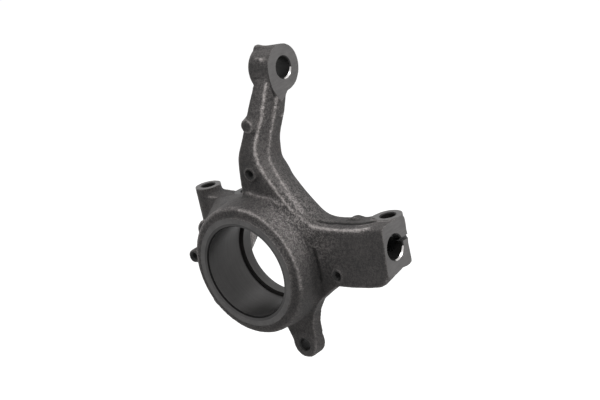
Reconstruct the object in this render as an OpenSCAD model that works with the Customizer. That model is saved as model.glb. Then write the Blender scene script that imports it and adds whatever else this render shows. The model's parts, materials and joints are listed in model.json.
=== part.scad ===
// Steering knuckle of a front-wheel-drive car: one iron casting with machined seats.
// The wheel bearing's axis is Y and the outboard side is -Y. The steering arm rises along +Z to the tie rod's
// eye, the clamp for the ball joint's stud opens towards +X, and the strut's ear lies at -X, inboard.
// The origin is on the bearing's axis, halfway along its seat. "Setback" is a distance inboard of the
// hub's outboard face.

/* [Bearing hub] */
// Diameter of the bearing seat
seat_d = 78; // [74:0.5:82]
// Length of the bearing seat
seat_len = 40; // [36:1:42]
// Width of the undercut behind the seat
groove_w = 3; // [2:0.5:5]
// Depth of the undercut
groove_depth = 1.5; // [0.5:0.25:3]
// Height of the lip that stops the bearing
lip_h = 2.25; // [1.5:0.25:4]
// Width of the shallow chamfer at the mouth of the seat
lead_in = 3.1; // [2:0.1:4]
// Depth of that chamfer
lead_in_depth = 0.5; // [0.3:0.1:1]
// Overall length of the hub
hub_len = 52; // [48:1:56]
// Width of the machined land round the seat, with the chamfer in it
land_w = 7.4; // [6:0.2:9]
// Height of the machined land's spigot
spigot_h = 1.5; // [0.75:0.25:2]
// Outer diameter of the hub at its shoulder
hub_d = 109.5; // [106:0.5:116]
// Setback of the shoulder behind the land
shoulder_setback = 5.5; // [5:0.5:8]
// Outer diameter of the hub at its parting line
hub_waist_d = 113; // [108:1:118]
// Outer diameter of the hub at its inboard end
hub_back_d = 105; // [98:1:110]
// Diameter of the ledge that carries the arm and the clamp
ledge_d = 122; // [118:1:126]
// Setback of the ledge
ledge_setback = 23; // [20:0.5:26]
// Where the ledge starts and ends round the hub, in degrees
ledge_angles = [-14, 96];
// Radius of the cast hollows and edges on the hub
cast_r = 2.2; // [1:0.2:2.6]

/* [Steering arm] */
// Height of the tie rod's eye over the bearing's axis
eye_rise = 155; // [140:1:170]
// Distance of the eye's machined face from the bearing's axis
eye_face_x = 41.5; // [38:0.5:46]
// Setback of the eye's bore
eye_setback = 51; // [47:0.5:54]
// Length of the eye
eye_len = 21.5; // [18:0.5:26]
// Outer diameter of the eye
eye_d = 36.6; // [34:0.2:44]
// Draft of the eye's outside, in degrees
eye_draft = 4; // [0:0.5:6]
// Bore of the eye
eye_bore_d = 17; // [12:0.2:20]
// Rounding of the ridges along the arm and the clamp
ridge_r = 3.2; // [1:0.2:5]
// Diameter of the round nub on the arm's front
nub_d = 11; // [8:0.5:13]
// Height of that nub
nub_h = 5.5; // [2:0.5:8]
// Diameter of the small nub on the arm's side
side_nub_d = 7; // [5:0.5:9]

/* [Ball joint clamp] */
// Distance of the clamp's machined end from the bearing's axis
clamp_reach = 124.6; // [116:1:132]
// Height of the stud's bore over the bearing's axis
clamp_rise = 13.6; // [11:0.2:16]
// Setback of the stud's bore
clamp_setback = 39.5; // [37:0.5:42]
// Diameter of the stud's bore
clamp_bore_d = 20; // [14:0.2:22]
// Depth of the stud's bore
clamp_bore_len = 44; // [34:1:48]
// Width of the saw cut that lets the clamp close
slit_w = 3; // [1.5:0.25:4]
// Length of the saw cut
slit_len = 38; // [30:1:44]
// Lean of the clamp about the stud's axis, in degrees
clamp_tilt = 5.2; // [0:0.2:8]
// Diameter of the pinch bolt's hole
pinch_d = 12.4; // [8:0.2:13]
// Distance of the pinch bolt from the clamp's end
pinch_inset = 11.6; // [10:0.2:14]
// Distance of the pinch bolt inboard of the stud's bore
pinch_offset = 13; // [11:0.5:16]
// Outer diameter of the pinch bolt's boss
pinch_boss_d = 23; // [20:0.5:26]
// Height of the pinch bolt's boss
pinch_boss_h = 41; // [36:0.5:44]

/* [Strut ear] */
// Distance of the outer strut bolt from the bearing's axis
ear_reach = 107; // [98:1:114]
// Setback of the outer strut bolt
ear_setback = 88; // [82:0.5:94]
// Spacing of the two strut bolts
strut_spacing = 54; // [48:1:58]
// Skew of the ear towards the hub, in degrees
ear_skew = 8.5; // [4:0.5:12]
// Diameter of the strut bolts' holes
strut_bolt_d = 12.2; // [10:0.2:14]
// Diameter of the strut bolts' bosses
ear_boss_d = 22.6; // [20:0.2:25]
// Height of the strut bolts' bosses
ear_h = 38.4; // [34:0.2:42]
// Height of the bosses' middle over the bearing's axis
ear_rise = 19.5; // [16:0.5:22]
// Height of the web between the bosses
ear_web_h = 26; // [18:0.5:30]

/* [Lower lug] */
// Distance of the lower lug's hole from the bearing's axis
lug_radius = 76; // [73:0.5:80]
// Angle of the lower lug below the horizontal, in degrees
lug_angle = 70; // [64:1:76]
// Diameter of the lower lug's hole
lug_hole_d = 10; // [6:0.2:12]
// Diameter of the lower lug's boss
lug_boss_d = 23; // [20:0.5:26]
// Setback of the lower lug's face
lug_setback = 22.5; // [20:0.5:25]
// Thickness of the lower lug's boss
lug_t = 13; // [10:0.5:16]
// Thickness of the web that carries the lug
lug_web_t = 10.5; // [8:0.5:12]

/* [Shield screws] */
// Distance of the shield's screws from the bearing's axis
shield_radius = 76; // [74:0.5:79]
// Diameter of the shield's screw holes
shield_hole_d = 5; // [3:0.2:6.6]
// Depth of the shield's screw holes
shield_hole_len = 12; // [8:0.5:14]
// Countersink of the shield's screw holes
shield_sink = 0.8; // [0.4:0.1:1.4]
// Diameter of the shield's screw bosses
shield_boss_d = 11.6; // [9:0.2:15]
// Setback of the shield's screw bosses
shield_setback = 22; // [20:0.5:24]

/* [Hidden] */
$fn = 96;

over = 1;                                  // overrun of every cut
front = -seat_len / 2;                     // the hub's outboard face
back = front + hub_len;
seat_r = seat_d / 2;
land_r = seat_r + land_w;
hub_r = hub_d / 2;
ledge_r = ledge_d / 2;
lip_r = seat_r - lip_h;
core_r = 3 * lip_r / 4;                    // the hub is drawn solid outside this radius, then bored
shield_angles = [180, 84, -5];
iron = [0.32, 0.31, 0.31];

limb_back = back - over;                   // the limb stops just short of the hub's inboard face

// The limb that runs down the arm, round the bend and out to the clamp. Each row is one section:
// x and z of the edge on the open side, x and z of the edge on the hub's side, and the setback of the front.
// x is a share of the clamp's reach, z of the eye's rise and the setback of the hub's length.
limb_shares = [
    [0.345, 0.985, 0.201, 0.970, 0.610],
    [0.300, 0.910, 0.160, 0.905, 0.600],
    [0.263, 0.855, 0.130, 0.858, 0.585],
    [0.222, 0.768, 0.084, 0.774, 0.545],
    [0.172, 0.690, 0.046, 0.700, 0.510],
    [0.148, 0.638, 0.011, 0.638, 0.485],
    [0.137, 0.590, -0.019, 0.587, 0.468],
    [0.142, 0.548, -0.034, 0.545, 0.462],
    [0.168, 0.508, -0.044, 0.492, 0.462],
    [0.208, 0.468, -0.053, 0.445, 0.465],
    [0.249, 0.420, -0.056, 0.385, 0.470],
    [0.296, 0.366, -0.020, 0.300, 0.475],
    [0.340, 0.318, 0.040, 0.220, 0.480],
    [0.395, 0.263, 0.110, 0.140, 0.485],
    [0.455, 0.222, 0.210, 0.050, 0.490],
    [0.525, 0.203, 0.320, -0.040, 0.495],
    [0.610, 0.195, 0.440, -0.098, 0.500],
    [0.722, 0.195, 0.590, -0.112, 0.500],
    [0.842, 0.206, 0.775, -0.110, 0.500],
    [0.930, 0.212, 0.920, -0.098, 0.500],
    [0.980, 0.213, 0.982, -0.066, 0.500],
    [1.000, 0.213, 1.000, -0.037, 0.500]
];
// How far the edges of a section stand out from its front, in steps down the limb: the row where the step
// ends, then as shares of the limb's depth the parting ridge and the back edge on the open side, the rise of
// the back edge on the hub's side, and how far the back lies inboard of the arm's back
flank_shares = [[0, 0.50, 0.26, 0, 0], [2, 0.33, 0.25, 0, 0], [4, 0.21, 0.25, 0, 0], [6, 0.17, 0.25, 0, 0],
    [8, 0.12, 0.13, 0, 0], [10, 0.08, -0.01, 0, 0], [14, 0.06, 0.02, 0, 0], [17, 0.05, 0.11, 0, 0.02],
    [19, 0.04, 0.06, 0.26, 0.16], [20, 0.03, 0.03, 0.30, 0.19], [21, 0.02, 0, 0.08, 0.19]];
limb_depth = limb_back - front - hub_len * limb_shares[8][4];
parting_share = 0.47;                      // place of the parting ridge between the front and the back
hub_flank_share = 0.06;                    // how far the ridge stands out on the hub's side
limb_steps = 2;                            // sections between two rows
corner_steps = 3;                          // facets round each ridge

function unit(v) = v / norm(v);
function mix(a, b, t) = a + (b - a) * t;
function ease(t) = t <= 0 ? 0 : t >= 1 ? 1 : t * t * (3 - 2 * t);
function curve(p, t) = (2 * p[1] + (p[2] - p[0]) * t + (2 * p[0] - 5 * p[1] + 4 * p[2] - p[3]) * pow(t, 2)
    + (3 * p[1] - p[0] - 3 * p[2] + p[3]) * pow(t, 3)) / 2;
function clip(i, n) = max(0, min(n, i));
function at(rows, s) = let (n = len(rows) - 1, i = min(floor(s), n - 1))
    curve([for (k = [-1:2]) rows[clip(i + k, n)]], s - i);
function arc(centre, r, from, to, n = 8) =
    [for (i = [0:n]) centre + r * [cos(mix(from, to, i / n)), sin(mix(from, to, i / n))]];

// Which corners of a section are rounded like the ridges; the two at the parting line stay nearly sharp
corner_shares = [1, 1, 0.3, 1.4, 1.4, 0.3];

// One corner of a section, rounded between its two neighbours
function rounded(before, corner, after, r) = let (
    reach = min(r, 0.45 * norm(before - corner), 0.45 * norm(after - corner)),
    a = corner + reach * unit(before - corner),
    b = corner + reach * unit(after - corner))
    [for (i = [0:corner_steps]) let (t = i / corner_steps)
        pow(1 - t, 2) * a + 2 * t * (1 - t) * corner + pow(t, 2) * b];

// The flanks' shares at a row, between the steps of the table
function flank(s, i = 0) = s <= flank_shares[i + 1][0] || i + 2 >= len(flank_shares)
    ? mix(flank_shares[i], flank_shares[i + 1],
        ease((s - flank_shares[i][0]) / (flank_shares[i + 1][0] - flank_shares[i][0])))
    : flank(s, i + 1);

// One section of the limb: a hexagon whose flanks meet at the parting ridge, leaned by the clamp's tilt
function limb_section(s) = let (
    row = at(limb_shares, s),
    side = flank(s),
    open = [row[0] * clamp_reach, row[1] * eye_rise],
    inner = [row[2] * clamp_reach, row[3] * eye_rise],
    across = unit(open - inner),
    y_front = front + row[4] * hub_len,
    y_back = limb_back + side[4] * limb_depth,
    y_part = y_front + parting_share * (limb_back - y_front),
    lean = tan(clamp_tilt) * ease(2 * s / (len(limb_shares) - 1) - 1),
    corners = [
        [inner, y_front],
        [open, y_front],
        [open + across * side[1] * limb_depth, y_part],
        [open + across * side[2] * limb_depth, y_back],
        [inner + across * side[3] * limb_depth, y_back],
        [inner + across * (side[3] * parting_share - hub_flank_share) * limb_depth, y_part]
    ],
    points = [for (c = corners) [c[0][0], c[1] + lean * (c[0][1] - clamp_rise), c[0][1]]])
    [for (i = [0:5]) each rounded(points[(i + 5) % 6], points[i], points[(i + 1) % 6],
        ridge_r * corner_shares[i])];

// A closed skin through a list of sections that all have the same number of points
module loft(sections) {
    n = len(sections[0]);
    last = len(sections) - 1;
    polyhedron([for (section = sections) each section], concat(
        [[for (i = [n - 1:-1:0]) i]],
        [for (k = [0:last - 1], i = [0:n - 1]) let (j = (i + 1) % n) each [
            [k * n + i, (k + 1) * n + j, (k + 1) * n + i],
            [k * n + i, k * n + j, (k + 1) * n + j]]],
        [[for (i = [0:n - 1]) last * n + i]]));
}

module along_hub() rotate([-90, 0, 0]) children();
module outboard(x, z, setback) translate([x, front + setback, z]) rotate([-90, 0, 0]) children();

// Hub: a revolved wall with its machined land and its shoulder
module hub() {
    fillet_r = shoulder_setback - spigot_h - cast_r;
    back_r = hub_back_d / 2;
    color(iron) along_hub() rotate_extrude() polygon(concat(
        [[core_r, front], [land_r, front], [land_r, front + spigot_h]],
        arc([land_r + fillet_r, front + spigot_h], fillet_r, 180, 90),
        arc([hub_r - cast_r, front + shoulder_setback], cast_r, -90, 0, 4),
        [[hub_waist_d / 2, front + ledge_setback + cast_r],
        [back_r, back - cast_r], [back_r - cast_r, back], [core_r, back]]));
}

// Cast pads on the hub's wall
module hub_pads() color(iron)
    for (pad = pad_shares)
        outboard(pad[1] * hub_r * cos(pad[0]), pad[1] * hub_r * sin(pad[0]), pad[3] * hub_len)
            cylinder(h = pad[4] * hub_len, r = pad[2] * hub_r);

// Raised rim round the hub where the arm and the clamp spring from it
module ledge() {
    top_y = front + ledge_setback;
    color(iron) along_hub() rotate(-ledge_angles[1]) rotate_extrude(angle = ledge_angles[1] - ledge_angles[0])
        polygon(concat([[seat_r + groove_depth, top_y]],
            arc([ledge_r - cast_r, top_y + cast_r], cast_r, -90, 0, 4),
            [[ledge_r, top_y + hub_len / 4], [seat_r + groove_depth, top_y + hub_len / 4]]));
}

// Everything the lathe takes out of the hub: seat, undercut, lip and the broken edges
module hub_bore() along_hub() rotate_extrude() polygon([
    [0, front - over], [seat_r + lead_in, front - over], [seat_r + lead_in, front],
    [seat_r, front + lead_in_depth],
    [seat_r, front + seat_len], [seat_r + groove_depth, front + seat_len],
    [seat_r + groove_depth, front + seat_len + groove_w], [lip_r, front + seat_len + groove_w],
    [lip_r, back - lead_in_depth], [lip_r + lead_in_depth + over, back + over],
    [lip_r + lead_in_depth + over, back + ear_setback], [0, back + ear_setback]]);

// Arm and clamp in one limb
module limb() color(iron) {
    last = len(limb_shares) - 1;
    loft([for (i = [0:last * limb_steps]) limb_section(i / limb_steps)]);
}

// Eye for the tie rod, with the plane its machined face is cut to
module eye() color(iron)
    translate([eye_face_x - eye_len, front + eye_setback, eye_rise]) rotate([0, 90, 0])
        cylinder(h = eye_len, d1 = eye_d - 2 * tan(eye_draft) * eye_len, d2 = eye_d);
module eye_cuts() {
    translate([eye_face_x, front - over, eye_rise - eye_d]) cube([eye_d, eye_setback + eye_d, 2 * eye_d]);
    translate([eye_face_x - eye_len - eye_d, front + eye_setback, eye_rise]) rotate([0, 90, 0])
        cylinder(h = eye_len + 2 * eye_d, d = eye_bore_d);
}

// Nubs left by the casting's feeders
module nubs() color(iron) {
    front_nub = limb_shares[3];
    nub_x = mix(front_nub[0], front_nub[2], 0.72) * clamp_reach;
    outboard(nub_x, 0.745 * eye_rise, front_nub[4] * hub_len - nub_h)
        cylinder(h = 2 * nub_h, d1 = nub_d, d2 = 1.5 * nub_d);
    translate([front_nub[0] * clamp_reach - side_nub_d / 4, front + 0.85 * hub_len, 0.775 * eye_rise])
        rotate([0, 90, 0]) cylinder(h = side_nub_d * 1.4, d = side_nub_d);
    outboard(0.695 * clamp_reach, 0.145 * eye_rise, 0.82 * hub_len)
        cylinder(h = 0.16 * hub_len, r = 0.075 * eye_rise);
    translate([eye_face_x - eye_len, front + eye_setback - side_nub_d / 3, eye_rise + 0.44 * eye_d])
        rotate([0, 90, 0]) cylinder(h = 0.85 * eye_len, d1 = side_nub_d, d2 = side_nub_d * 0.3);
}

pinch_x = clamp_reach - pinch_inset;
pinch_y = front + clamp_setback + pinch_offset;

// The pinch bolt's boss stands beside the limb, over and under the saw cut
module pinch_boss() color(iron)
    translate([pinch_x, pinch_y, clamp_rise - pinch_boss_h / 2]) cylinder(h = pinch_boss_h, d = pinch_boss_d);
module clamp_cuts() {
    translate([clamp_reach, front - over, clamp_rise - pinch_boss_h])
        cube([pinch_boss_d, 2 * hub_len, 2 * pinch_boss_h]);
    translate([clamp_reach - clamp_bore_len, front + clamp_setback, clamp_rise]) rotate([0, 90, 0])
        cylinder(h = clamp_bore_len + over, d = clamp_bore_d);
    translate([clamp_reach - slit_len, front + clamp_setback, clamp_rise + slit_w / 4])
        cube([slit_len + over, pinch_offset + pinch_boss_d, slit_w]);
    translate([pinch_x, pinch_y, clamp_rise - pinch_boss_h]) cylinder(h = 2 * pinch_boss_h, d = pinch_d);
}

// Where the neck of the ear stands on the hub: angle, distance and radius as shares of the hub's radius
neck_feet = [[118, 0.90, 0.12], [155, 1.02, 0.16], [188, 0.88, 0.14]];
// Cast pads on the hub: angle, distance and radius in the same way, then setback and length as shares
// of the hub's length
pad_shares = [[159, 1.12, 0.19, 0.485, 0.17], [214, 0.96, 0.175, 0.185, 0.3]];
ear_foot = [-ear_reach, front + ear_setback, ear_rise];

// Ear for the strut: two bosses, the web between them and the neck down to the hub
module ear() color(iron) {
    web_t = ear_boss_d * 0.86;
    translate(ear_foot) rotate(-ear_skew) {
        for (x = [0, strut_spacing])
            translate([x, 0, -ear_h / 2]) cylinder(h = ear_h, d = ear_boss_d);
        translate([0, -web_t / 2, -ear_web_h / 2]) cube([strut_spacing, web_t, ear_web_h]);
    }
    hull() {
        for (foot = neck_feet)
            outboard(foot[1] * hub_r * cos(foot[0]), foot[1] * hub_r * sin(foot[0]), ledge_setback + cast_r)
                cylinder(h = hub_len - ledge_setback - 2 * cast_r, r = foot[2] * hub_r, $fn = 32);
        translate(ear_foot) rotate(-ear_skew) translate([0, over - web_t / 2, 0]) rotate([90, 0, 0])
            linear_extrude(over) polygon([
                [strut_spacing * 0.38, ear_web_h * 0.45], [strut_spacing * 0.95, ear_web_h * 0.45],
                [strut_spacing * 1.23, -ear_web_h * 0.64], [strut_spacing * 0.91, -ear_web_h * 1.31],
                [-strut_spacing * 0.08, -ear_web_h / 2]]);
    }
}
module ear_cuts()
    translate(ear_foot) rotate(-ear_skew)
        for (x = [0, strut_spacing]) translate([x, 0, -ear_h]) cylinder(h = 2 * ear_h, d = strut_bolt_d);

// Lower lug, carried by a web that runs from the hub to the clamp's underside
lug_x = lug_radius * cos(lug_angle);
lug_z = -lug_radius * sin(lug_angle);
module lug() color(iron) {
    outboard(lug_x, lug_z, lug_setback) cylinder(h = lug_t, d = lug_boss_d);
    outboard(0, 0, lug_setback + (lug_t - lug_web_t) / 2) linear_extrude(lug_web_t) scale([1, -1]) polygon([
        [0, 0], [lug_x - lug_boss_d * 0.75, -ledge_r * 0.9], [lug_x - lug_boss_d / 2, lug_z],
        [lug_x + lug_boss_d / 2, lug_z], [lug_x + lug_boss_d * 0.55, lug_z * 0.75],
        [lug_x + lug_boss_d * 0.7, lug_z * 0.6], [lug_x + lug_boss_d, lug_z * 0.46],
        [lug_x + lug_boss_d * 1.35, lug_z * 0.38], [lug_x + lug_boss_d * 2, lug_z * 0.24]]);
}
module lug_cut() outboard(lug_x, lug_z, lug_setback - over) cylinder(h = lug_t + 2 * over, d = lug_hole_d);

// Bosses for the brake shield's screws
module shield_bosses() color(iron)
    for (a = shield_angles)
        outboard(shield_radius * cos(a), shield_radius * sin(a), shield_setback)
            cylinder(h = hub_len / 4, d = shield_boss_d);
// The screw that stands clear of the limb has a short lug of its own
module shield_lug() color(iron)
    outboard(0, 0, shield_setback + cast_r / 2) linear_extrude(hub_len / 4 - cast_r)
        polygon([[-hub_r * 0.9, shield_boss_d * 0.8], [-hub_r * 0.9, -shield_boss_d * 0.8],
            [-shield_radius, -shield_boss_d * 0.45], [-shield_radius, shield_boss_d * 0.45]]);
module shield_cuts()
    for (a = shield_angles)
        outboard(shield_radius * cos(a), shield_radius * sin(a), shield_setback - over) {
            cylinder(h = shield_hole_len + over, d = shield_hole_d);
            cylinder(h = over + shield_sink, d1 = shield_hole_d + 2 * (over + shield_sink), d2 = shield_hole_d);
        }

module steering_knuckle() color(iron) difference() {
    union() {
        hub();
        hub_pads();
        ledge();
        limb();
        eye();
        nubs();
        pinch_boss();
        ear();
        lug();
        shield_bosses();
        shield_lug();
    }
    hub_bore();
    eye_cuts();
    clamp_cuts();
    ear_cuts();
    lug_cut();
    shield_cuts();
}

steering_knuckle();
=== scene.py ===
# Steering knuckle: a sand-cast iron part with machined seats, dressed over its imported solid.
# The casting is grown from the solid, and then its faces and holes are cut as a machine shop would.
# Shapes are in millimetres, looks, camera and lamps in metres.
import json
import math

import bmesh
import bpy
import numpy as np
from mathutils import Matrix, Vector, noise


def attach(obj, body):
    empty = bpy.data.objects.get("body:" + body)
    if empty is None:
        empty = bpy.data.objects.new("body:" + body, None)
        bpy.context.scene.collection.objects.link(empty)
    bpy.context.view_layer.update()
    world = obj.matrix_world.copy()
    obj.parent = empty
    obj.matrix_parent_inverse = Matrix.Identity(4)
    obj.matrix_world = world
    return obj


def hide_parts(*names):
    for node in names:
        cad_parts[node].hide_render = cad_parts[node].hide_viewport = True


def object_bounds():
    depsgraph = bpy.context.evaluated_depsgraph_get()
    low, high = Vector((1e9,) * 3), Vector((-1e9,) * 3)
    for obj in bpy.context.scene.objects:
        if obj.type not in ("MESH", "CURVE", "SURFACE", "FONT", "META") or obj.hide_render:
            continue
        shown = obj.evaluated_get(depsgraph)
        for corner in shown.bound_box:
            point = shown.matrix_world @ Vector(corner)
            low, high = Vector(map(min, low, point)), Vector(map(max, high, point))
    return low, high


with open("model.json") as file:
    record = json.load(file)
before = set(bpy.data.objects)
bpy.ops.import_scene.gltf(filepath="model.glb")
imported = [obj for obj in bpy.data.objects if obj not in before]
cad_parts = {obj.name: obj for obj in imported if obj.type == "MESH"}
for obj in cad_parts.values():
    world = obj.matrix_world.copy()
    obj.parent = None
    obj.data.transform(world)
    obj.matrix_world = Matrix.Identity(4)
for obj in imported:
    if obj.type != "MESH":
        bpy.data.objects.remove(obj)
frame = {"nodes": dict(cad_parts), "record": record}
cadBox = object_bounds()
mounts = {mount["name"]: mount for mount in frame["record"]["mounts"]}
perMetre = 1000  # meshes are worked in millimetres and brought to metres at the end
print("frame loaded:", [[round(perMetre * c, 1) for c in corner] for corner in cadBox])


# The photograph's camera

photoCamera = {
    "place": (0.7990, -0.8234, 0.4018),
    "azimuth": 42.03,
    "elevation": 17.28,
    "roll": 12.3,  # the top of the part leans left in the frame
    "lens": 90,
    "sensor": 36,
    "clip": (0.05, 20),
}


def addObject(name, data):
    obj = bpy.data.objects.new(name, data)
    bpy.context.scene.collection.objects.link(obj)
    return obj


def setCamera(s):
    data = bpy.data.cameras.new("camera")
    data.lens, data.sensor_width = s["lens"], s["sensor"]
    data.clip_start, data.clip_end = s["clip"]
    camera = addObject("camera", data)
    turn = (Matrix.Rotation(math.radians(s["azimuth"]), 4, "Z")
            @ Matrix.Rotation(math.radians(90 - s["elevation"]), 4, "X")
            @ Matrix.Rotation(math.radians(-s["roll"]), 4, "Z"))
    camera.matrix_world = Matrix.Translation(s["place"]) @ turn
    bpy.context.scene.camera = camera


setCamera(photoCamera)
print("camera set")


# Shader sockets as values

class Wire:
    # a socket and its tree: a sum on it adds its Math nodes
    def __init__(self, tree, socket):
        self.tree, self.socket = tree, socket

    def node(self, kind, settings=None, inputs=None, out=0):
        made = self.tree.nodes.new(kind)
        for key, value in (settings or {}).items():
            setattr(made, key, value)
        for key, value in (inputs or {}).items():
            if isinstance(value, Wire):
                self.tree.links.new(value.socket, made.inputs[key])
            else:
                made.inputs[key].default_value = value
        return Wire(self.tree, made.outputs[out]) if made.outputs else None

    def math(self, operation, first, second, clamp=False):
        settings = {"operation": operation, "use_clamp": clamp}
        return self.node("ShaderNodeMath", settings, {0: first, 1: second})

    def __add__(self, other):
        return self.math("ADD", self, other)

    def __radd__(self, other):
        return self.math("ADD", other, self)

    def __sub__(self, other):
        return self.math("SUBTRACT", self, other)

    def __rsub__(self, other):
        return self.math("SUBTRACT", other, self)

    def __mul__(self, other):
        return self.math("MULTIPLY", self, other)

    def __rmul__(self, other):
        return self.math("MULTIPLY", other, self)

    def __truediv__(self, other):
        return self.math("DIVIDE", self, other)

    def __rtruediv__(self, other):
        return self.math("DIVIDE", other, self)

    def clamped(self):
        return self.math("ADD", self, 0, True)

    def step(self, low, high):
        return self.node("ShaderNodeMapRange", {"interpolation_type": "SMOOTHSTEP"},
                         {"Value": self, "From Min": low, "From Max": high})

    def blend(self, first, second):
        # a colour mix: its factor, its two colours and its result are sockets 0, 6, 7 and 2
        return self.node("ShaderNodeMix", {"data_type": "RGBA"}, {0: self, 6: first, 7: second}, 2)

    def noise(self, size, detail, roughness):
        return self.node("ShaderNodeTexNoise", None,
                         {"Vector": self, "Scale": 1 / size, "Detail": detail, "Roughness": roughness})

    def bump(self, distance):
        return self.node("ShaderNodeBump", None, {"Strength": 1.0, "Distance": distance, "Height": self})


def newMaterial(name):
    made = bpy.data.materials.new(name)
    made.use_nodes = True
    tree = made.node_tree
    tree.nodes.clear()
    start = Wire(tree, None)
    place = start.node("ShaderNodeTexCoord", out=3)  # object coordinates
    return made, start, place


def finishSurface(start, inputs):
    shader = start.node("ShaderNodeBsdfPrincipled", None, inputs)
    start.node("ShaderNodeOutputMaterial", None, {"Surface": shader})


def grey(level, warmth=0.0):
    # a grey that leans to rust
    return (level * (1 + warmth), level, level * (1 - warmth / 3), 1)


# Cast skin: coarse sand grain, peaks rubbed bright, patches a little warmer or cooler, painted glints on
# the coarse grain, painted highlights along some lines and painted shade in hollows and creases

skinLook = {
    "dark": 0.062,
    "light": 0.150,
    "warmth": 0.075,
    # painted shade: the colour that hollows, creases, the screws' bosses and the parting step are
    # darkened towards
    "hollow": 0.025,
    "worn": 0.42,  # ridges rubbed bright by the shot; the same colour gives the painted highlights and glints
    # sizes of the patches, the grain and the pits, and the pits' share of the relief
    "patch": 0.030,
    "grain": 0.0011,
    "pit": 0.0024,
    "pitted": 0.35,
    # levels of a noise between which it goes from none to all
    "patchRange": (0.30, 0.70),
    "mottleRange": (0.36, 0.64),
    "rubbedRange": (0.40, 0.60),
    "speckRange": (0.43, 0.62),
    "mottled": 0.7,  # share of the relief in the mottle, beside the patches
    "broken": 0.38,  # share of a rubbed ridge that the relief breaks up
    "specks": 0.60,  # how bright the painted glints of the specks are where the grain is coarse
    "sheltered": 0.85,  # how much less a hollow is rubbed
    "depth": (0.0006, 0.0028),  # height of the grain on the even faces and where it is coarse
    "roughness": (0.40, 0.65),  # where it is rubbed, and elsewhere
    "metal": 0.8,  # of the spots rubbed bright
    "shine": 0.12,
}


def castSkin(s):
    made, start, place = newMaterial("castSkin")
    patch = place.noise(s["patch"], detail=3, roughness=0.55).step(*s["patchRange"])
    grain = place.noise(s["grain"], detail=3, roughness=0.62)
    pits = place.noise(s["pit"], detail=2, roughness=0.55)
    relief = grain * (1 - s["pitted"]) + pits * s["pitted"]
    ridge, rasped, hollow = [start.node("ShaderNodeAttribute", {"attribute_name": name}, out=2)
                             for name in ("ridge", "coarse", "hollow")]
    mottle = patch * (1 - s["mottled"]) + relief.step(*s["mottleRange"]) * s["mottled"]
    ground = mottle.blend(grey(s["dark"]), grey(s["light"], s["warmth"]))
    # painted shade where the hollow attribute is high
    ground = hollow.blend(ground, grey(s["hollow"]))
    # rubbed wear and painted highlights from the ridge attribute, and painted glints on the coarse grain
    rubbed = ridge * ((1 - s["broken"]) + relief.step(*s["rubbedRange"]) * s["broken"])
    specks = rasped * relief.step(*s["speckRange"]) * s["specks"]
    worn = ((rubbed + specks) * (1 - hollow * s["sheltered"])).clamped()
    smooth, rough = s["roughness"]
    even, coarse = s["depth"]
    height = relief * (even + rasped * (coarse - even)) * perMetre
    finishSurface(start, {
        "Base Color": worn.blend(ground, grey(s["worn"], s["warmth"])),
        "Roughness": rough - worn * (rough - smooth),
        "Metallic": worn * s["metal"],
        "Specular IOR Level": s["shine"],
        "Normal": height.bump(1 / perMetre),
    })
    return made


# Machined surfaces: lathe and mill marks, and the darker bores, whose drilled holes are painted near
# black for the shade in them
# A mark is the size of the tool's marks, depth is theirs, and stretch draws them out along X, Y and Z

turnedLook = {
    "dark": 0.034, "light": 0.110, "roughness": 0.36, "metal": 0.20, "shine": 0.25,
    "mark": 0.0011, "depth": 0.00002, "stretch": (0.03, 1, 0.03),
    "wiped": (222, 0.039),  # the side of the seat given a painted sheen, and its radius
}
landLook = {
    "dark": 0.090, "light": 0.145, "roughness": 0.42, "metal": 0.15, "shine": 0.25,
    "mark": 0.0011, "depth": 0.00003, "stretch": (0.2, 1, 0.2),
}
milledLook = {
    "dark": 0.120, "light": 0.175, "roughness": 0.45, "metal": 0.25, "shine": 0.25,
    "mark": 0.0016, "depth": 0.00003, "stretch": (1, 0.12, 1),
}
# painted shade: the drilled holes and the saw cut, near black
drilledPaintedShadeLook = {
    "dark": 0.014, "light": 0.028, "roughness": 0.45, "metal": 0.15, "shine": 0.25,
    "mark": 0.0009, "depth": 0.00005, "stretch": (1, 1, 1),
}
# A painted highlight on a crescent of a hole's edge
paintedGlintLook = {
    "dark": 0.50, "light": 0.70, "roughness": 0.25, "metal": 0.80, "shine": 0.5,
    "mark": 0.0009, "depth": 0.00002, "stretch": (1, 1, 1),
}
# Painted shade in the seat's mouth
paintedMouthShadeLook = {
    "dark": 0.006, "light": 0.012, "roughness": 0.60, "metal": 0.0, "shine": 0.1,
    "mark": 0.0009, "depth": 0.00002, "stretch": (1, 1, 1),
}
# What all machined surfaces share
machinedMetal = {
    "warmth": 0.035,
    "stain": 0.02,  # size of the stains
    "stained": 0.6,  # their share of the tone, beside the tool's marks
    "toneRange": (0.3, 0.7),
    "spread": 0.16,  # of the roughness over the stains
    "wipedShare": 0.65,
    "wipedRange": (0.35, 1.0),  # from the axis outwards, over which the painted sheen grows bright
}


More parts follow.
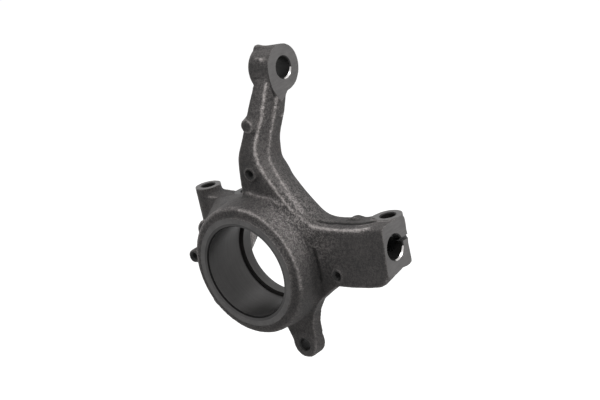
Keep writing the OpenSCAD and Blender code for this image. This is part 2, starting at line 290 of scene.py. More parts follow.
def machined(name, s, m):
    made, start, place = newMaterial(name)
    drawn = start.node("ShaderNodeMapping", None, {"Vector": place, "Scale": s["stretch"]})
    marks = drawn.noise(s["mark"], detail=2, roughness=0.6)
    stain = place.noise(m["stain"], detail=3, roughness=0.6)
    tone = (stain * m["stained"] + marks * (1 - m["stained"])).step(*m["toneRange"])
    # painted sheen: the seat lighter towards one side, for the reflection there
    if "wiped" in s:
        angle, radius = s["wiped"]
        turn = math.radians(angle)
        across, up = [start.node("ShaderNodeSeparateXYZ", None, {0: place}, k) for k in (0, 2)]
        towards = (across * math.cos(turn) + up * math.sin(turn)) / radius
        tone = tone * (1 - m["wipedShare"]) + towards.step(*m["wipedRange"]) * m["wipedShare"]
    finishSurface(start, {
        "Base Color": tone.blend(grey(s["dark"], m["warmth"]), grey(s["light"], m["warmth"])),
        "Roughness": s["roughness"] + (stain - 0.5) * m["spread"],
        "Metallic": s["metal"],
        "Specular IOR Level": s["shine"],
        "Normal": marks.bump(s["depth"]),
    })
    return made


skin = castSkin(skinLook)
turned = machined("turned", turnedLook, machinedMetal)
land = machined("land", landLook, machinedMetal)
milled = machined("milled", milledLook, machinedMetal)
drilled = machined("drilled", drilledPaintedShadeLook, machinedMetal)
broken = machined("broken", paintedGlintLook, machinedMetal)
sooty = machined("sooty", paintedMouthShadeLook, machinedMetal)
print("materials made")


# Blank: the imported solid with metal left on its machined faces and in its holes

blankSizes = {
    "metal": 2.5,  # left on a face that is cut later
    "short": 0.3,  # how far a plug ends below the metal left over it
    "plug": 0.9,  # how far a plug reaches into a hole's wall
    "seatPlug": 2.2,  # how far the hub's plug does, to cover the undercut
    "pinchPlug": 34,  # how far the pinch bolt's plug reaches down from its mount
    "hubReach": 52,  # how far out from the axis the hub's back face is looked for
    "plugSides": 64,
    "grain": 1.0,  # size of the skin's quads
}
sawCut = {
    "width": 3,
    "length": 38,  # from the clamp's end
    "deep": 40,  # inboard from the stud's axis
    "above": 0.75,  # lower side, over the stud's axis
}
# Its plug is two blocks, and a disc round the pinch bolt
sawPlug = {
    "width": 4.4,
    "deep": (10.5, 17.5),  # inboard from the stud's axis: the block before the bolt, and the one at it
    "join": (-10, -11),  # where the first ends and the second begins along X, from the bolt's axis
    "disc": 10.6,
}
# Faces that are cut flat: the mount whose hole they surround, the side of it, how far out they reach,
# and their finish. Those without one stay as cast.
flatFaces = [
    ("bearing_seat", 1, 47.5, land),
    ("tie_rod_eye", 1, 44, milled),
    ("tie_rod_eye", -1, 17.5, milled),
    ("ball_joint_clamp", 1, 60, milled),
    ("pinch_bolt", 1, 12.2, milled),
    ("strut_bolt_outer", 1, 12.2, milled),
    ("strut_bolt_outer", -1, 12.2, milled),
    ("strut_bolt_inner", 1, 12.2, turned),
    ("strut_bolt_inner", -1, 12.2, milled),
    ("lower_lug_hole", 1, 12.0, None),
    ("lower_lug_hole", -1, 12.0, None),
    ("shield_screw_left", 1, 6.2, None),
    ("shield_screw_top", 1, 6.2, None),
    ("shield_screw_right", 1, 6.2, None),
]
throughHoles = ("tie_rod_eye", "strut_bolt_outer", "strut_bolt_inner", "lower_lug_hole")
screwHoles = ("shield_screw_left", "shield_screw_top", "shield_screw_right")
levels = {}  # how far out each face lies from its mount
stock = {}  # how far a plug reaches past that level


def mountAt(name, side=1):
    mount = mounts[name]
    return (Vector(mount["pos_m"]) * perMetre, Vector(mount["axis"]) * side,
            mount["dims"]["r_mm"], mount["dims"]["length_mm"])


def solidCopy(node):
    bm = bmesh.new()
    bm.from_mesh(frame["nodes"][node].data)
    bmesh.ops.scale(bm, vec=(perMetre,) * 3, verts=bm.verts)
    bmesh.ops.remove_doubles(bm, verts=bm.verts, dist=0.001)
    bmesh.ops.recalc_face_normals(bm, faces=bm.faces)
    return bm


def flatFace(bm, place, way, reach, square=0.999, even=0.05):
    # the outermost faces square to the axis and near it, and their level along it
    near = []
    for f in bm.faces:
        if f.normal.dot(way) > square:
            off = f.calc_center_median() - place
            along = off.dot(way)
            if (off - way * along).length < reach:
                near.append((along, f))
    level = max(along for along, f in near)
    return [f for along, f in near if along > level - even], level


def leaveMetal(bm, faces, way, metal):
    grown = bmesh.ops.extrude_face_region(bm, geom=faces)["geom"]
    moved = [g for g in grown if isinstance(g, bmesh.types.BMVert)]
    bmesh.ops.translate(bm, vec=way * metal, verts=moved)


def axisMatrix(place, way):
    return Matrix.Translation(place) @ way.to_track_quat("Z", "Y").to_matrix().to_4x4()


def addBar(bm, place, way, radius, low, high):
    # a round bar along way, from low to high
    middle = axisMatrix(place, way) @ Matrix.Translation((0, 0, (low + high) / 2))
    bmesh.ops.create_cone(bm, cap_ends=True, segments=blankSizes["plugSides"], radius1=radius,
                          radius2=radius, depth=high - low, matrix=middle)


def addBlock(bm, low, high):
    size = [h - l for l, h in zip(low, high)]
    middle = [(h + l) / 2 for l, h in zip(low, high)]
    matrix = Matrix.Translation(middle) @ Matrix.Diagonal((*size, 1))
    bmesh.ops.create_cube(bm, size=1, matrix=matrix)


def meshObject(name, bm, materials):
    mesh = bpy.data.meshes.new(name)
    bm.to_mesh(mesh)
    bm.free()
    for m in materials:
        mesh.materials.append(m)
    return addObject(name, mesh)


def settled(obj):
    # the object with its modifiers applied
    shaped = obj.evaluated_get(bpy.context.evaluated_depsgraph_get())
    made = bpy.data.meshes.new_from_object(shaped)
    obj.modifiers.clear()
    obj.data = made
    return obj


def plugHoles(bm, s):
    for name in mounts:
        place, way, radius, length = mountAt(name)
        high = levels.get((name, 1), length / 2) + stock.get((name, 1), -s["short"])
        low = -levels.get((name, -1), length / 2) - stock.get((name, -1), -s["short"])
        addBar(bm, place, way, radius + s["plug"], low, high)
    place, way, radius, length = mountAt("bearing_seat")
    back = levels["bearing_seat", -1] = flatFace(bm, place, -way, s["hubReach"])[1]
    addBar(bm, place, way, radius + s["seatPlug"], s["short"] - back,
           levels["bearing_seat", 1] + stock["bearing_seat", 1])


def plugSawCut(bm, s, saw, plug):
    bore = mountAt("ball_joint_clamp")[0]
    pinch, up, radius, length = mountAt("pinch_bolt")
    end = bore.x + levels["ball_joint_clamp", 1]
    middle = bore.z + saw["above"] + saw["width"] / 2
    half = plug["width"] / 2
    shallow, deep = plug["deep"]
    first, second = plug["join"]
    addBlock(bm, (end - saw["length"], bore.y, middle - half),
             (pinch.x + first, bore.y + shallow, middle + half))
    addBlock(bm, (pinch.x + second, bore.y, middle - half),
             (end + stock["ball_joint_clamp", 1], bore.y + deep, middle + half))
    addBar(bm, Vector((pinch.x, pinch.y, middle)), up, plug["disc"], -half, half)
    addBar(bm, pinch, up, radius + s["plug"], -s["pinchPlug"],
           levels["pinch_bolt", 1] + stock["pinch_bolt", 1])


def castBlank(s):
    bm = solidCopy("steering_knuckle")
    for name, side, reach, finish in flatFaces:
        place, way, radius, length = mountAt(name, side)
        faces, levels[name, side] = flatFace(bm, place, way, reach)
        if finish:
            leaveMetal(bm, faces, way, s["metal"])
            stock[name, side] = s["metal"] - s["short"]
    loose = len([e for e in bm.edges if not e.is_manifold])
    print("blank before plugs:", len(bm.faces), "faces,", loose, "open edges")
    plugHoles(bm, s)
    plugSawCut(bm, s, sawCut, sawPlug)
    blank = meshObject("knuckle", bm, [skin, turned, land, milled, drilled, broken, sooty])
    remesh = blank.modifiers.new("remesh", "REMESH")
    remesh.mode, remesh.voxel_size, remesh.adaptivity = "VOXEL", s["grain"], 0
    return settled(blank)


knuckle = castBlank(blankSizes)
print("blank remeshed:", len(knuckle.data.vertices), "vertices")


# Casting's skin: fillets in the hollows, soft edges, the mould's unevenness, the parting line, the
# gates, and the painted shade, highlights and glints kept on its points

skinSizes = {
    "settling": 1,  # passes that take the steps off the remeshed blank
    "rounding": 2,  # passes that take the sharpness off the edges
    "filletTurns": 30,  # passes that fill the inner corners
    "filletShare": 0.9,
    "filletFloor": 0.04,  # hollows shallower than this stay as they are
    "creviceKept": 4,  # how far round the crevice no fillet grows
    "swell": 0.12,  # given back for what the smoothing takes
    "ridgeTurns": 2,
    "ridgeBend": (0.03, 0.09),  # bend of the skin from which a ridge is rubbed bright
    "rubbed": 0.5,  # how bright the edges are
    "rubbedAbove": (-12, 14),  # edges below this height are made less bright
    "rubbedBelow": 0.4,  # share of their brightness that is left there
    # how bright the skin is where it ends at a machined face, over what width, and how far past the face
    "cutEdge": (0.4, 0.8, 2),
    "dust": 0.9,  # metal that fills a hollow before its painted shade is at its darkest
    "dusty": 0.5,  # how dark that painted shade is
    "bossShade": (0.6, 5.0, 0.7),  # how dark the painted shade round the screws' mouths is, its radius, how much less rubbed
    "lineGrain": (0.5, 4.5),  # how coarse the grain, with its painted glints, is beside a rubbed line, and how far out
    "waves": [(11.0, 0.12), (4.0, 0.08), (2.2, 0.07)],  # wavelength and height of the unevenness
}


def ringPoints(radius, depth, start, end, step=6):
    # points round the hub's axis, at angles from +X towards +Z
    turns = [math.radians(a) for a in range(start, end + 1, step)]
    return [(radius * math.cos(t), depth, radius * math.sin(t)) for t in turns]


# Lines along the casting: how far they stand out, their width, how bright they are (rubbed wear, or a
# painted highlight) and how dark they are (painted shade)
castLines = [
    {"name": "front ridge", "height": 0.35, "width": 1.5, "worn": 1.0, "dark": 0,
     "points": [(38.5, 11.5, 150), (36.5, 11.4, 145.5), (33.8, 11.2, 139), (31, 10.7, 132),
                (28, 9.3, 122.5), (23.5, 7.5, 112.5), (19.5, 6.5, 104.5), (17, 5.5, 97.5),
                (16.5, 5, 91), (17.5, 4.5, 83.5), (21, 4, 75.5), (26, 4.3, 68), (31, 4.5, 59.5),
                (36, 4.7, 52), (41, 5, 46.5)]},
    {"name": "shoulder ridge", "height": 0.2, "width": 1.5, "worn": 0.45, "dark": 0,
     "points": [(41, 5, 46.5), (46, 5.5, 41.5), (50, 5.5, 37.5), (56, 6, 33)]},
    {"name": "clamp ridge", "height": 0.35, "width": 1.5, "worn": 0.95, "dark": 0,
     "points": [(56, 6, 33), (60.5, 6.5, 31.5), (70.5, 7.5, 30), (87, 8, 30), (102, 8, 30.5),
                (111, 9, 32.5)]},
    {"name": "back ridge", "height": 0.55, "width": 1.4, "worn": 0.75, "dark": 0,
     "points": [(40.5, 17, 135), (37, 17, 127.5), (33, 16.5, 118), (27, 16.5, 107),
                (23, 16.5, 97), (21.5, 15, 90), (22, 14, 82), (26.5, 12.5, 74.5),
                (31.5, 11, 66.5), (37.5, 10, 58)]},
    {"name": "back ridge's foot", "height": 0.2, "width": 3.0, "worn": 0.5, "dark": 0,
     "points": [(31.5, 11, 66.5), (37.5, 10, 58), (44.5, 9.5, 48), (49, 9.5, 42.5)]},
    {"name": "ledge", "height": 0.4, "width": 1.5, "worn": 0.5, "dark": 0,
     "points": [(0, 3.1, 59.2), (8.6, 3.1, 57.8), (18.6, 3.1, 55.6), (27, 3.5, 53.2),
                (35.8, 4.4, 50.6)]},
    # the hub's edge: rubbed, with a painted highlight brightest on its upper right, where it faces the
    # light
    {"name": "hub's edge", "height": 0.15, "width": 1.3, "worn": 0.7, "dark": 0,
     "points": ringPoints(53.1, -16.5, 12, 84)},
    {"name": "hub's edge, left", "height": 0.1, "width": 1.2, "worn": 0.3, "dark": 0,
     "points": ringPoints(53.1, -16.5, 84, 174)},
    {"name": "hub's edge, right", "height": 0.1, "width": 1.6, "worn": 0.45, "dark": 0,
     "points": ringPoints(53.4, -16.2, -12, 12)},
    # painted highlight along the eye's lip, brightest at its end
    {"name": "eye's lip", "height": 0.9, "width": 1.0, "worn": 0.5, "dark": 0,
     "points": [(26.5, 17.5, 166), (31.3, 17, 165.8), (37, 16, 165)]},
    {"name": "eye's lip, bright end", "height": 0.2, "width": 1.2, "worn": 1.0, "dark": 0,
     "points": [(33, 16.8, 165.6), (35.5, 16.2, 165.2)]},
    # painted shade on the eye's flat, in its foot and in its crease
    {"name": "eye's flat", "height": 0, "width": 5.5, "worn": 0, "dark": 0.3,
     "points": [(26, 14.2, 158.5), (39.5, 13, 157.5)]},
    {"name": "eye's foot", "height": -0.5, "width": 0.9, "worn": 0, "dark": 0.7,
     "points": [(24.5, 14, 151.6), (33.6, 12.2, 151.8), (41, 12, 152)]},
    {"name": "eye's crease", "height": -0.5, "width": 0.9, "worn": 0, "dark": 0.8,
     "points": [(41, 12, 151.5), (41, 12.6, 144.5), (39.8, 15.6, 136.5)]},
    # painted light on the pad behind the lip, the arm's front and side, the eye's top and the hub's side
    {"name": "pad behind the lip", "height": 0, "width": 5, "worn": 0.6, "dark": 0,
     "points": [(-42.2, 38, -4), (-41.4, 38, 1), (-38, 37, 9), (-34, 36, 16)]},
    {"name": "arm's front", "height": 0, "width": 11, "worn": 0.18, "dark": 0,
     "points": [(34, 13, 148), (29, 11, 134), (24, 10, 120)]},
    {"name": "arm's side", "height": 0, "width": 7, "worn": 0.12, "dark": 0,
     "points": [(26, 12, 112), (20, 11, 95), (22, 9, 82), (33, 8, 62), (46, 7.5, 46)]},
    {"name": "eye's top", "height": 0, "width": 8, "worn": 0.12, "dark": 0,
     "points": [(24, 22, 171), (38, 22, 170)]},
    {"name": "hub's side", "height": 0, "width": 12, "worn": 0.25, "dark": 0,
     "points": [(34, -8, 44), (44, -8, 34), (51, -7, 21)]},
    # painted shade beside the crevice, under the nub, on the clamp's top, at the arm's foot and on the
    # hub's lower side
    {"name": "crevice's shade", "height": 0, "width": 7, "worn": 0, "dark": 0.6,
     "points": [(54, 2, 22), (57, 1, 13), (57.5, 0, 4), (57.5, 0, -8), (54, 1, -22)]},
    {"name": "nub's underside", "height": 0, "width": 3.5, "worn": 0, "dark": 0.45,
     "points": [(15.5, 2.6, 115.5), (18, 3, 115.5)]},
    {"name": "clamp's top", "height": 0, "width": 8, "worn": 0, "dark": 0.35,
     "points": [(62, 21, 33), (80, 24, 32), (96, 24, 32.5)]},
    {"name": "foot of the arm", "height": 0, "width": 10, "worn": 0, "dark": 0.25,
     "points": [(4, 4, 76), (14, 4, 64)]},
    {"name": "hub's side, below", "height": 0, "width": 14, "worn": 0, "dark": 0.25,
     "points": [(52, -6, -18), (44, -6, -34)]},
    # painted shade in the crevice and at its ends, over a real groove
    {"name": "crevice", "height": -1.4, "width": 1.7, "worn": 0, "dark": 0.8,
     "points": [(56.6, 2.5, 13), (57.6, 2.5, 4), (57.7, 2.5, -4), (56.9, 2.7, -12)]},
    {"name": "crevice's ends", "height": -0.7, "width": 2.0, "worn": 0, "dark": 0.45,
     "points": [(54.4, 2.5, 22), (56.6, 2.5, 13), (57.6, 2.5, 4), (57.7, 2.5, -4),
                (56.9, 2.7, -12), (54, 3, -21)]},
]
# The hub flares into the limb here: more metal fills the hollow, and its grain is coarse, with painted
# glints
flare = {
    "points": [(38, 3, 43), (44, 3, 37), (49, 3, 31), (52.5, 2.5, 25)],
    "reach": 8,
    "turns": 90,  # more passes, only here
    "floor": 0.01,  # hollows shallower than this stay as they are
    "coarse": 22,  # how far out the grain is coarse, with its painted glints
}
# The lower front of the eye is pressed flat
eyeFlat = {
    "mount": "tie_rod_eye",
    "faces": (0, -0.985, -0.17),  # the direction it faces
    "round": 18.6,  # radius of the eye
    "depth": 1.0,  # how deep the flat goes into the round
    "along": (20, 42),  # where it begins and ends along X
    "ends": 1.5,  # over what length it fades there
    "past": (2, 0.5),  # how far past the round a point is still pressed, and how much deeper
}
# Where the mould's halves meet, the back half stands a little prouder
mismatch = {
    # x and y of the line, on the upper side
    "points": [(56, 12.2), (63, 13.4), (75, 16.7), (89.5, 17), (100, 16), (107.5, 18), (113, 20)],
    "above": 29,  # only skin over this height
    "ends": 4,  # over what length the step fades at its ends
    "height": 1.1,
    "sharp": 0.25,
    "fade": 7,  # how far behind the line the step runs out
    "wander": (3.5, 0.5),  # wavelength and width of the line's wandering
    "dark": (0.4, 1.0),  # how far in front of the line its painted shade lies, and the width of that
    "bright": (1.8, 0.7),  # how far in front of the line its edge is rubbed and given a painted highlight, and the width of that
    "brightFrom": (93, 6),  # where along X that begins, and over what length
    "worn": 0.7,  # how bright that is
}


class Skin:
    # a mesh's points, with its links and faces as arrays, so that thousands of points move at once
    pace = 0.5  # share of the way to its neighbours that a point goes in one pass

    def __init__(self, mesh):
        self.mesh = mesh
        self.points = self.read(mesh.vertices, "co", float, 3)
        self.links = self.read(mesh.edges, "vertices", int, 2)
        self.faces = self.read(mesh.loops, "vertex_index", int, 1).reshape(-1, 4)
        self.count = np.bincount(self.links.ravel(), minlength=len(self.points))[:, None]

    def read(self, parts, name, kind, width):
        values = np.empty(len(parts) * width, kind)
        parts.foreach_get(name, values)
        return values.reshape(-1, width)

    def gather(self, places, values):
        return np.stack([np.bincount(places, values[:, k], len(self.points)) for k in range(3)], 1)

    def lean(self):
        # from each point to the middle of its neighbours
        a, b = self.links.T
        total = self.gather(a, self.points[b]) + self.gather(b, self.points[a])
        return total / self.count - self.points

    def smooth(self, turns):
        for turn in range(turns):
            self.points += self.pace * self.lean()

    def normals(self):
        p = self.points[self.faces]
        cross = np.cross(p[:, 2] - p[:, 0], p[:, 3] - p[:, 1])
        total = sum(self.gather(self.faces[:, k], cross) for k in range(4))
        return total / np.linalg.norm(total, axis=1)[:, None]

    def spread(self, values, turns):
        # values evened out over each point's neighbours
        a, b = self.links.T
        for turn in range(turns):
            near = np.bincount(a, values[b], len(values)) + np.bincount(b, values[a], len(values))
            values = (1 - self.pace) * values + self.pace * near / self.count[:, 0]
        return values

    def store(self):
        self.mesh.vertices.foreach_set("co", self.points.ravel())
        self.mesh.update()

    def keep(self, name, values):
        made = self.mesh.attributes.new(name, "FLOAT", "POINT")
        made.data.foreach_set("value", values)


def nearLine(points, line):
    # distance of each point from a line of straight stretches
    best = np.full(len(points), np.inf)
    for a, b in zip(np.array(line[:-1], float), np.array(line[1:], float)):
        d = b - a
        t = np.clip((points - a) @ d / (d @ d), 0, 1)
        best = np.minimum(best, np.linalg.norm(points - a - t[:, None] * d, axis=1))
    return best


def bell(distance, width):
    return np.exp(-(distance / width) ** 2)


def rising(values, low, high):
    # from 0 at low to 1 at high
    return np.clip((values - low) / (high - low), 0, 1)


def between(values, low, high, ends):
    # 1 between low and high, and fading to 0 over their ends
    return np.clip(np.minimum(values - low, high - values) / ends, 0, 1)


def fillHollows(cast, s):
    # hollows fill with fillets, wide ones at the flare and none in the crevice
    crevice = next(line for line in castLines if line["name"] == "crevice")
    away = 1 - bell(nearLine(cast.points, crevice["points"]), s["creviceKept"])
    wide = bell(nearLine(cast.points, flare["points"]), flare["reach"])
    start = cast.points.copy()
    passes = [(away, s["filletFloor"])] * s["filletTurns"] + [(wide, flare["floor"])] * flare["turns"]
    for share, floor in passes:
        lean = cast.lean()
        rise = (lean * cast.normals()).sum(1)
        hollow = share * np.clip((rise - floor) / floor, 0, 1)
        cast.points += hollow[:, None] * s["filletShare"] * cast.pace * lean
    return np.linalg.norm(cast.points - start, axis=1)


def mouldStep(points, s):
    # height of the step behind the parting line, the painted shade in front of it and its rubbed edge
    # with a painted highlight
    x, y, z = points.T
    along, across = np.array(s["points"], float).T
    size, width = s["wander"]
    wander = np.array([width * noise.noise(Vector((place, 0, 0)) / size) for place in x])
    behind = y - np.interp(x, along, across) - wander
    inside = between(x, along[0], along[-1], s["ends"]) * (z > s["above"])
    step = 1 / (1 + np.exp(-behind / s["sharp"])) * bell(np.maximum(behind, 0), s["fade"])
    dark = bell(behind + s["dark"][0], s["dark"][1])
    start, length = s["brightFrom"]
    bright = bell(behind + s["bright"][0], s["bright"][1]) * rising(x, start, start + length)
    return inside * step * s["height"], inside * dark, inside * bright


def pressFlat(points, s):
    # points that stand past the flat go back to it
    off = points - np.array(mountAt(s["mount"])[0])
    faces = np.array(Vector(s["faces"]).normalized())
    beyond, deeper = s["past"]
    past = np.clip(off @ faces - (s["round"] - s["depth"]), 0, s["depth"] + deeper)
    near = np.linalg.norm(off[:, 1:], axis=1) < s["round"] + beyond
    return points - (past * between(points[:, 0], *s["along"], s["ends"]) * near)[:, None] * faces


def cutEdges(points, width, past):
    # the skin is bright where it ends at a machined face
    near = np.zeros(len(points))
    for name, side, reach, finish in flatFaces:
        if finish:
            place, way, radius, length = mountAt(name, side)
            off = points - np.array(place)
            along = off @ np.array(way)
            out = np.linalg.norm(off - along[:, None] * np.array(way), axis=1)
            near = np.maximum(near, (out < reach + past) * bell(along - levels[name, side], width))
    return near


def cureSkin(obj, s):
    cast = Skin(obj.data)
    cast.smooth(s["settling"])
    filled = fillHollows(cast, s)
    cast.smooth(s["rounding"])
    normals = cast.normals()
    bend = cast.spread(-(cast.lean() * normals).sum(1), s["ridgeTurns"])
    ridge = rising(bend, *s["ridgeBend"]) * s["rubbed"]
    ridge *= s["rubbedBelow"] + (1 - s["rubbedBelow"]) * rising(cast.points[:, 2], *s["rubbedAbove"])
    worn, width, past = s["cutEdge"]
    ridge = np.maximum(ridge, worn * cutEdges(cast.points, width, past))
    cast.points = pressFlat(cast.points, eyeFlat)
    coarse = bell(nearLine(cast.points, flare["points"]), flare["coarse"])
    # painted shade in the hollows that the fillets filled, less where the grain is coarse
    hollow = np.clip(filled / s["dust"], 0, 1) * s["dusty"] * (1 - coarse)
    rise = np.full(len(cast.points), s["swell"])
    grainy, reach = s["lineGrain"]
    for line in castLines:
        distance = nearLine(cast.points, line["points"])
        here = bell(distance, line["width"])
        rise += line["height"] * here
        ridge = np.maximum(ridge, line["worn"] * here)
        hollow = np.maximum(hollow, line["dark"] * here)
        coarse = np.maximum(coarse, grainy * line["worn"] * bell(distance, reach))
    dark, width, less = s["bossShade"]
    # painted shade round the mouths of the tapped holes
    for name in screwHoles:
        place, way, radius, length = mountAt(name)
        mouth = np.array(place + way * levels[name, 1])
        here = bell(np.linalg.norm(cast.points - mouth, axis=1), width)
        hollow = np.maximum(hollow, dark * here)
        ridge *= 1 - less * here
    step, shade, edge = mouldStep(cast.points, mismatch)
    ridge = np.maximum(ridge * (1 - shade), mismatch["worn"] * edge)
    for size, height in s["waves"]:
        rise += [height * noise.noise(Vector(p) / size) for p in cast.points]
    cast.points += (rise + step)[:, None] * normals
    lowest, highest = (np.array(corner) * perMetre for corner in cadBox)
    lowest[1], highest[0] = -np.inf, np.inf  # sides whose faces are cut later
    cast.points = np.clip(cast.points, lowest, highest)
    cast.store()
    # ridge holds rubbed wear and painted highlights, coarse holds the grain that carries painted glints,
    # hollow holds the painted shade
    cast.keep("ridge", ridge)
    cast.keep("coarse", np.maximum(coarse, ridge))
    cast.keep("hollow", np.maximum(hollow, shade))


cureSkin(knuckle, skinSizes)
print("skin cured")


# Machine shop: each cutter is a turned or a square tool

shopSizes = {
    "sides": 128,
    "screwSides": 32,
    "over": 6,  # how far a cutter runs out past a face
    "chamfer": 0.8,
    "drillTip": 0.55,  # depth of the drill's cone, as a share of the hole's radius
    "sink": 1.5,  # countersink of the tapped holes
    "pitch": 1.0,
    "thread": 0.45,
    "threadForm": (0.25, 0.55, 0.85),  # where in a pitch the groove begins, is deepest and ends
    "pinchDeep": 41,  # how far the pinch bolt's hole goes below its boss's face
    # mouths with a painted highlight on a crescent of their edge, cut by a tool that ran off the hole's
    # axis: width and how far off
    "broken": [("tie_rod_eye", -0.15, (0, 0.75, -1.1)), ("ball_joint_clamp", -0.15, (0, 0.7, -1.15))],
    "brokenDeep": 2.5,  # how deep that tool goes
}
hubBore = {
    "sides": 192,
    "undercut": 3.0,
    "undercutDeep": 1.5,
    "lip": 2.25,
    "leadIn": (3.1, 0.5),  # width and depth of the shallow chamfer at the mouth
    "mouth": (0.9, 1.8),  # width and depth of the bevel inside it, in painted shade
    "mouthTop": 0.4,  # how deep that bevel ends
    "mouthInside": 0.1,  # how far inside the seat it begins
    "lipBreak": 0.5,  # broken edge on the lip's inboard side
}
cutters = []


def addCutter(name, bm, finish):
    cutters.append(meshObject(name, bm, [finish]))


def addTurned(name, profile, place, way, sides, finish):
    # a cutter turned about way, from pairs of a radius and a height
    bm = bmesh.new()
    verts = [bm.verts.new((r, 0, h)) for r, h in profile]
    edges = [bm.edges.new(pair) for pair in zip(verts, verts[1:])]
    bmesh.ops.spin(bm, geom=verts + edges, cent=(0, 0, 0), axis=(0, 0, 1), angle=2 * math.pi,
                   steps=sides, use_merge=True)
    bmesh.ops.remove_doubles(bm, verts=bm.verts, dist=0.0001)
    bmesh.ops.recalc_face_normals(bm, faces=bm.faces)
    bmesh.ops.transform(bm, matrix=axisMatrix(place, way), verts=bm.verts)
    addCutter(name, bm, finish)


def cutFlats(s):
    for name, side, reach, finish in flatFaces:
        if finish:
            place, way, radius, length = mountAt(name, side)
            level = levels[name, side]
            top = level + s["over"]
            profile = [(0, level), (reach, level), (reach, top), (0, top)]
            addTurned("flat", profile, place, way, s["sides"], finish)


def drillProfile(radius, low, high, s, blind=False):
    # a hole from low to high with its mouths broken, and a drill's cone where it is blind
    edge, over = s["chamfer"], s["over"]
    top = [(radius, high - edge), (radius + edge + over, high + over), (0, high + over)]
    if blind:
        return [(0, low - radius * s["drillTip"]), (radius, low)] + top
    return [(0, low - over), (radius + edge + over, low - over), (radius, low + edge)] + top


def tapProfile(radius, low, high, s):
    # a tapped blind hole: its thread as rings, and a deep countersink
    sink, pitch, over = s["sink"], s["pitch"], s["over"]
    profile = [(0, low - radius * s["drillTip"]), (radius, low)]
    for k in range(int((high - sink - low) / pitch)):
        for share, deep in zip(s["threadForm"], (0, s["thread"], 0)):
            profile.append((radius + deep, low + (k + share) * pitch))
    return profile + [(radius, high - sink), (radius + sink + over, high + over), (0, high + over)]


def breakEdge(name, width, off, s):
    # a crescent cut round a hole's mouth, with a painted highlight on it
    place, way, radius, length = mountAt(name)
    high, deep, over = levels[name, 1], s["brokenDeep"], s["over"]
    profile = [(0, high - deep), (radius + width - deep, high - deep),
               (radius + width + over, high + over), (0, high + over)]
    addTurned(name + "Edge", profile, place + Vector(off), way, s["sides"], broken)


def drillHoles(s, saw):
    for name in throughHoles:
        place, way, radius, length = mountAt(name)
        profile = drillProfile(radius, -levels[name, -1], levels[name, 1], s)
        addTurned(name, profile, place, way, s["sides"], drilled)
    for name in screwHoles:
        place, way, radius, length = mountAt(name)
        profile = tapProfile(radius, -length / 2, levels[name, 1], s)
        addTurned(name, profile, place, way, s["screwSides"], drilled)
    place, way, radius, length = mountAt("ball_joint_clamp")
    end = levels["ball_joint_clamp", 1]
    profile = drillProfile(radius, -length / 2, end, s, blind=True)
    addTurned("studBore", profile, place, way, s["sides"], drilled)
    blade = bmesh.new()
    addBlock(blade, (place.x + end - saw["length"], place.y, place.z + saw["above"]),
             (place.x + end + s["over"], place.y + saw["deep"], place.z + saw["above"] + saw["width"]))
    addCutter("sawCut", blade, drilled)
    place, way, radius, length = mountAt("pinch_bolt")
    high = levels["pinch_bolt", 1]
    profile = drillProfile(radius, high - s["pinchDeep"], high, s)
    addTurned("pinchHole", profile, place, way, s["sides"], drilled)
    for name, width, off in s["broken"]:
        breakEdge(name, width, off, s)


def boreHub(s, hub):
    place, way, seatR, length = mountAt("bearing_seat")
    front, back = levels["bearing_seat", 1], -levels["bearing_seat", -1]
    stop = front - length
    lipR, underR = seatR - hub["lip"], seatR + hub["undercutDeep"]
    wide, deep = hub["leadIn"]
    over, edge = s["over"], hub["lipBreak"]
    profile = [(0, front + over), (seatR + wide, front + over), (seatR + wide, front),
               (seatR, front - deep), (seatR, stop), (underR, stop), (underR, stop - hub["undercut"]),
               (lipR, stop - hub["undercut"]), (lipR, back + edge), (lipR + edge, back),
               (lipR + edge, back - over), (0, back - over)]
    addTurned("hubBore", profile, place, way, hub["sides"], turned)
    # painted shade: a near-black bevel just inside the seat's mouth
    wide, deep = hub["mouth"]
    profile = [(0, front - deep), (seatR - hub["mouthInside"], front - deep),
               (seatR + wide, front - hub["mouthTop"]), (seatR + wide, front + over), (0, front + over)]
    addTurned("seatMouth", profile, place, way, hub["sides"], sooty)


def machineBlank(blank):
    for k, cutter in enumerate(cutters):
        cut = blank.modifiers.new("cut%02d" % k, "BOOLEAN")
        cut.operation, cut.solver, cut.object = "DIFFERENCE", "MANIFOLD", cutter
        cut.material_mode = "TRANSFER"
    settled(blank)
    for cutter in cutters:
        bpy.data.objects.remove(cutter)


cutFlats(shopSizes)
boreHub(shopSizes, hubBore)
drillHoles(shopSizes, sawCut)
print("cutters made:", len(cutters))
machineBlank(knuckle)
print("machined:", len(knuckle.data.vertices), "vertices,", [m.name for m in knuckle.data.materials])


# Finish: smooth skin, sharp where a machined face begins or bends

sharpFrom = 28  # degrees between two machined faces


def finishMesh(mesh, angle):
    bm = bmesh.new()
    bm.from_mesh(mesh)
    for f in bm.faces:
        f.smooth = True
    for e in bm.edges:
        if len(e.link_faces) == 2:
            a, b = (f.material_index for f in e.link_faces)
            e.smooth = a == b and not (a and e.calc_face_angle(0) > angle)
    bmesh.ops.scale(bm, vec=(1 / perMetre,) * 3, verts=bm.verts)
    bm.to_mesh(mesh)
    bm.free()


finishMesh(knuckle.data, math.radians(sharpFrom))
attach(knuckle, "root")
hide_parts("steering_knuckle")
print("knuckle finished")


# Studio: a pale floor, a white surround and soft lamps

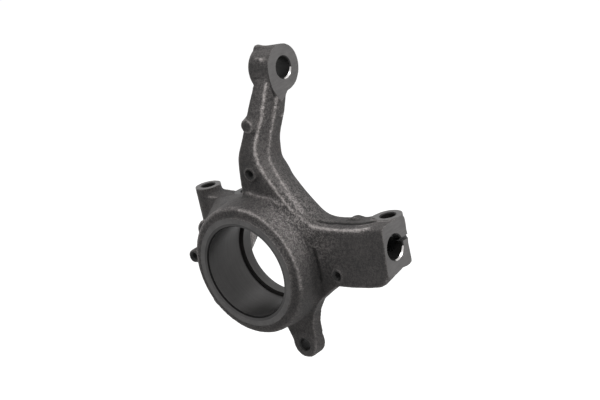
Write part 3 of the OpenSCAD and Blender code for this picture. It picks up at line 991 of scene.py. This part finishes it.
studio = {
    "drop": 0.16,  # floor below the part
    "floorSize": 30,
    "floor": 0.6,
    "floorGlow": 0.9,  # where the camera, a gloss or glass looks at it
    "surround": 0.205,
    "lamps": [
        # place, size, power
        ((0.90, -0.02, 0.91), 0.5, 5.4),
        ((1.17, 0.40, 0.30), 0.7, 1.4),
        ((0.19, 0.53, 1.17), 0.5, 2.4),
        ((-1.10, -0.56, 0.17), 0.6, 1.0),
        ((-0.30, -0.50, 0.62), 0.3, 0.55),
    ],
}


def seenWhite(start):
    path = [start.node("ShaderNodeLightPath", out=k) for k in (0, 3, 6)]  # camera, glossy, transmission
    return (path[0] + path[1] + path[2]).clamped()


def setSurround(s):
    world = bpy.data.worlds.new("surround")
    world.use_nodes = True
    tree = world.node_tree
    tree.nodes.clear()
    start = Wire(tree, None)
    strength = s["surround"] + seenWhite(start) * (1 - s["surround"])
    sky = start.node("ShaderNodeBackground", None, {"Color": grey(1), "Strength": strength})
    start.node("ShaderNodeOutputWorld", None, {"Surface": sky})
    bpy.context.scene.world = world


def setFloor(s):
    bm = bmesh.new()
    bmesh.ops.create_grid(bm, x_segments=1, y_segments=1, size=s["floorSize"],
                          matrix=Matrix.Translation((0, 0, cadBox[0].z - s["drop"])))
    made, start, place = newMaterial("floorPaper")
    paper = start.node("ShaderNodeBsdfDiffuse", None, {"Color": grey(s["floor"])})
    glow = start.node("ShaderNodeEmission", None,
                      {"Color": grey(1), "Strength": seenWhite(start) * s["floorGlow"]})
    both = start.node("ShaderNodeAddShader", None, {0: paper, 1: glow})
    start.node("ShaderNodeOutputMaterial", None, {"Surface": both})
    meshObject("floor", bm, [made])


def setLamps(s):
    middle = (cadBox[0] + cadBox[1]) / 2
    for k, (place, size, power) in enumerate(s["lamps"]):
        data = bpy.data.lights.new("lamp%d" % k, "AREA")
        data.size, data.energy = size, power
        lamp = addObject("lamp%d" % k, data)
        turn = (middle - Vector(place)).to_track_quat("-Z", "Y").to_matrix().to_4x4()
        lamp.matrix_world = Matrix.Translation(place) @ turn


setSurround(studio)
setFloor(studio)
setLamps(studio)
bpy.context.scene.view_settings.view_transform = "Standard"
print("studio set")
